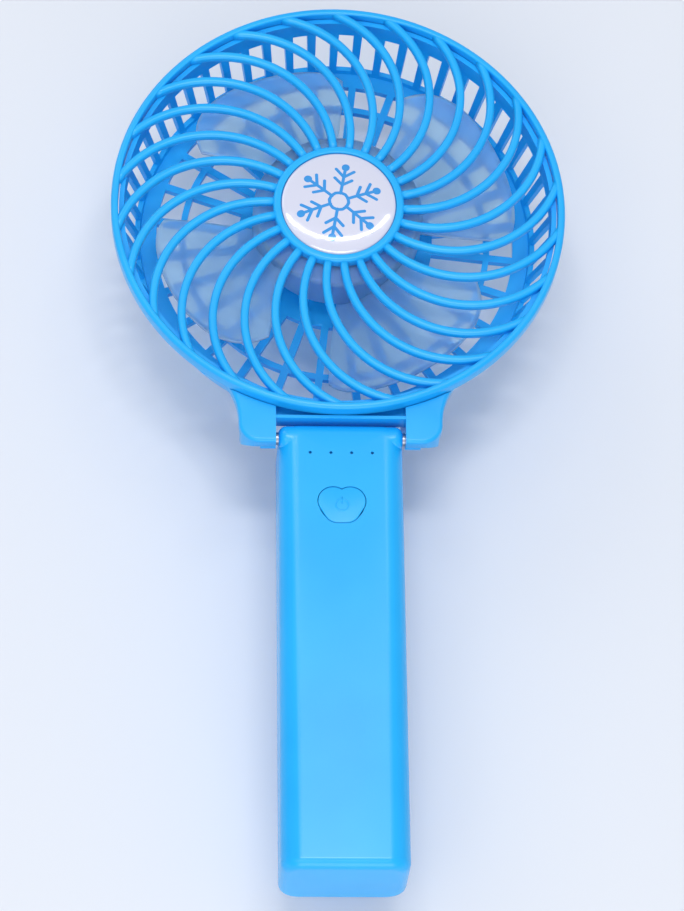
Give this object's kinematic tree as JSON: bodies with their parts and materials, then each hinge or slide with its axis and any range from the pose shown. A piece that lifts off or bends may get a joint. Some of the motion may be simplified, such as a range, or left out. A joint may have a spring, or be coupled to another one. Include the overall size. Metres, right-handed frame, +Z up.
{
  "type": "handheld folding fan",
  "caption": "Handheld battery fan with a round guarded head that folds forward on a slim handle, with a heart-shaped power button.",
  "frame": {"origin": "centre of the handle's flat bottom end", "axes": "+Z up along the handle towards the head; -Y is the side the air leaves, so +Y points to the back; +X is to the right as seen from the front"},
  "size_m": [0.11, 0.0289, 0.2215],
  "materials": {
    "blue_plastic": "satin moulded ABS",
    "white_gloss": "polished white moulding with a printed blue snowflake",
    "clear_frosted": "clear moulding, lightly frosted blades",
    "motor_steel": "plated drawn steel",
    "screw_steel": "nickel plated",
    "pin_steel": "ground steel",
    "bronze": "sintered bronze",
    "tinned_brass": "tinned",
    "ferrite": "sintered ferrite",
    "copper_winding": "enamelled copper on laminations",
    "black_plastic": "moulded",
    "board_green": "solder mask",
    "socket_steel": "nickel plated",
    "battery_wrap": "shrink wrap over a steel can",
    "wire_white": "soft insulation",
    "led_clear": "clear epoxy"
  },
  "bodies": {
    "head": {"front_cover": "blue_plastic", "badge_disc": "white_gloss", "rear_housing": "blue_plastic", "motor_cover": "blue_plastic", "motor_cover_screws": "screw_steel", "motor_can": "motor_steel", "motor_end_bell": "black_plastic", "motor_bushings": "bronze", "motor_terminals": "tinned_brass", "motor_magnets": "ferrite", "motor_mount_screws": "screw_steel", "motor_lead": "wire_white", "hinge_pin_left": "pin_steel", "hinge_pin_right": "pin_steel"},
    "rotor": {"motor_armature": "copper_winding", "motor_shaft": "pin_steel", "fan_rotor": "clear_frosted"},
    "handle": {"handle_front_shell": "blue_plastic", "handle_rear_shell": "blue_plastic", "handle_screws": "screw_steel", "circuit_board": "board_green", "charge_chip": "black_plastic", "switch_body": "black_plastic", "usb_socket": "socket_steel", "battery_cell": "battery_wrap", "battery_spring": "socket_steel", "battery_contact_plate": "socket_steel", "handle_lead": "wire_white", "indicator_led_1": "led_clear", "indicator_led_2": "led_clear", "indicator_led_3": "led_clear", "indicator_led_4": "led_clear"},
    "power_button": {"power_button": "blue_plastic", "switch_plunger": "black_plastic"},
    "battery_door": {"battery_door": "blue_plastic"}
  },
  "joints": [
    {"name": "head_fold", "type": "hinge", "parent": "handle", "child": "head", "pos_m": [0, -0.009, 0.1067], "axis": [1, 0, 0], "range_deg": [0, 95]},
    {"name": "rotor_spin", "type": "hinge", "parent": "head", "child": "rotor", "pos_m": [0, -0.006, 0.1665], "axis": [0, 1, 0], "continuous": true},
    {"name": "power_button_press", "type": "slide", "parent": "handle", "child": "power_button", "axis": [0, 1, 0], "range_m": [0, 0.0005], "stiffness_N_per_m": 2500, "springref_m": -0.0002},
    {"name": "battery_door_slide", "type": "slide", "parent": "handle", "child": "battery_door", "axis": [0, 0, -1], "range_m": [0, 0.008]}
  ]
}
